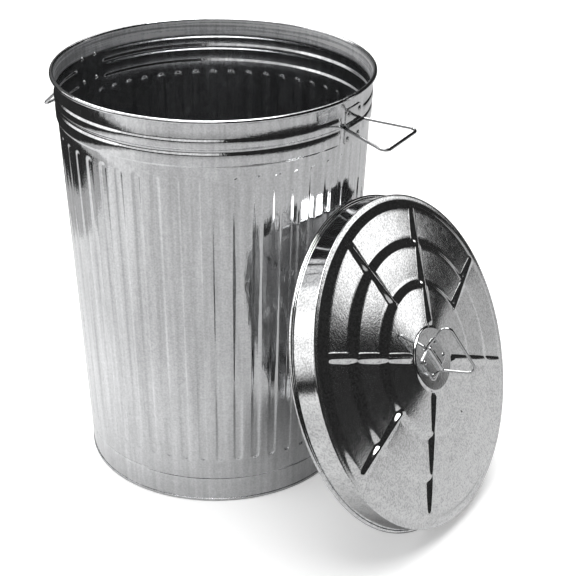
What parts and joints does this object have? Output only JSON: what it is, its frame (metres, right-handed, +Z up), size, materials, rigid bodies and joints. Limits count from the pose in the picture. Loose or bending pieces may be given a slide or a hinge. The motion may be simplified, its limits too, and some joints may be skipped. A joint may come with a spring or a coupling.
{
  "type": "dustbin with lid",
  "caption": "Tapered fluted galvanised dustbin with two drop handles at the rim and a ribbed round lid leaning against it.",
  "frame": {"origin": "centre of the can's foot, on the floor", "axes": "+Z up the can, +X towards the right handle and the leaning lid, +Y towards the back sheet"},
  "size_m": [0.7842, 0.533, 0.6645],
  "materials": {
    "galvanised_sheet": "satin",
    "galvanised_wire": "satin",
    "galvanised_clip": "satin",
    "rivet": "satin"
  },
  "bodies": {
    "can": {"front_sheet": "galvanised_sheet", "back_sheet": "galvanised_sheet", "base_pan": "galvanised_sheet", "rim_wire": "galvanised_wire", "right_handle_clip": "galvanised_clip", "right_clip_rivets": "rivet", "left_handle_clip": "galvanised_clip", "left_clip_rivets": "rivet"},
    "right_handle": {"right_handle_bail": "galvanised_wire"},
    "left_handle": {"left_handle_bail": "galvanised_wire"},
    "lid": {"lid_face": "galvanised_sheet", "lid_skirt": "galvanised_sheet", "lid_skirt_wire": "galvanised_wire", "lid_handle_clip": "galvanised_clip", "lid_clip_rivets": "rivet"},
    "lid_handle": {"lid_handle_bail": "galvanised_wire"}
  },
  "joints": [
    {"name": "right_handle_swing", "type": "hinge", "parent": "can", "child": "right_handle", "pos_m": [0.2472, 0, 0.61538], "axis": [0, -1, 0], "range_deg": [-82, 85]},
    {"name": "left_handle_swing", "type": "hinge", "parent": "can", "child": "left_handle", "pos_m": [-0.2472, 0, 0.61538], "axis": [0, 1, 0], "range_deg": [-43, 124]},
    {"name": "lid_lift", "type": "slide", "parent": "can", "child": "lid", "axis": [0.9221, -0.0451, 0.3843], "range_m": [0, 0.3]},
    {"name": "lid_handle_swing", "type": "hinge", "parent": "lid", "child": "lid_handle", "pos_m": [0.40882, -0.01999, 0.27195], "axis": [-0.3742, -0.3567, 0.856], "range_deg": [-103, 65]}
  ]
}
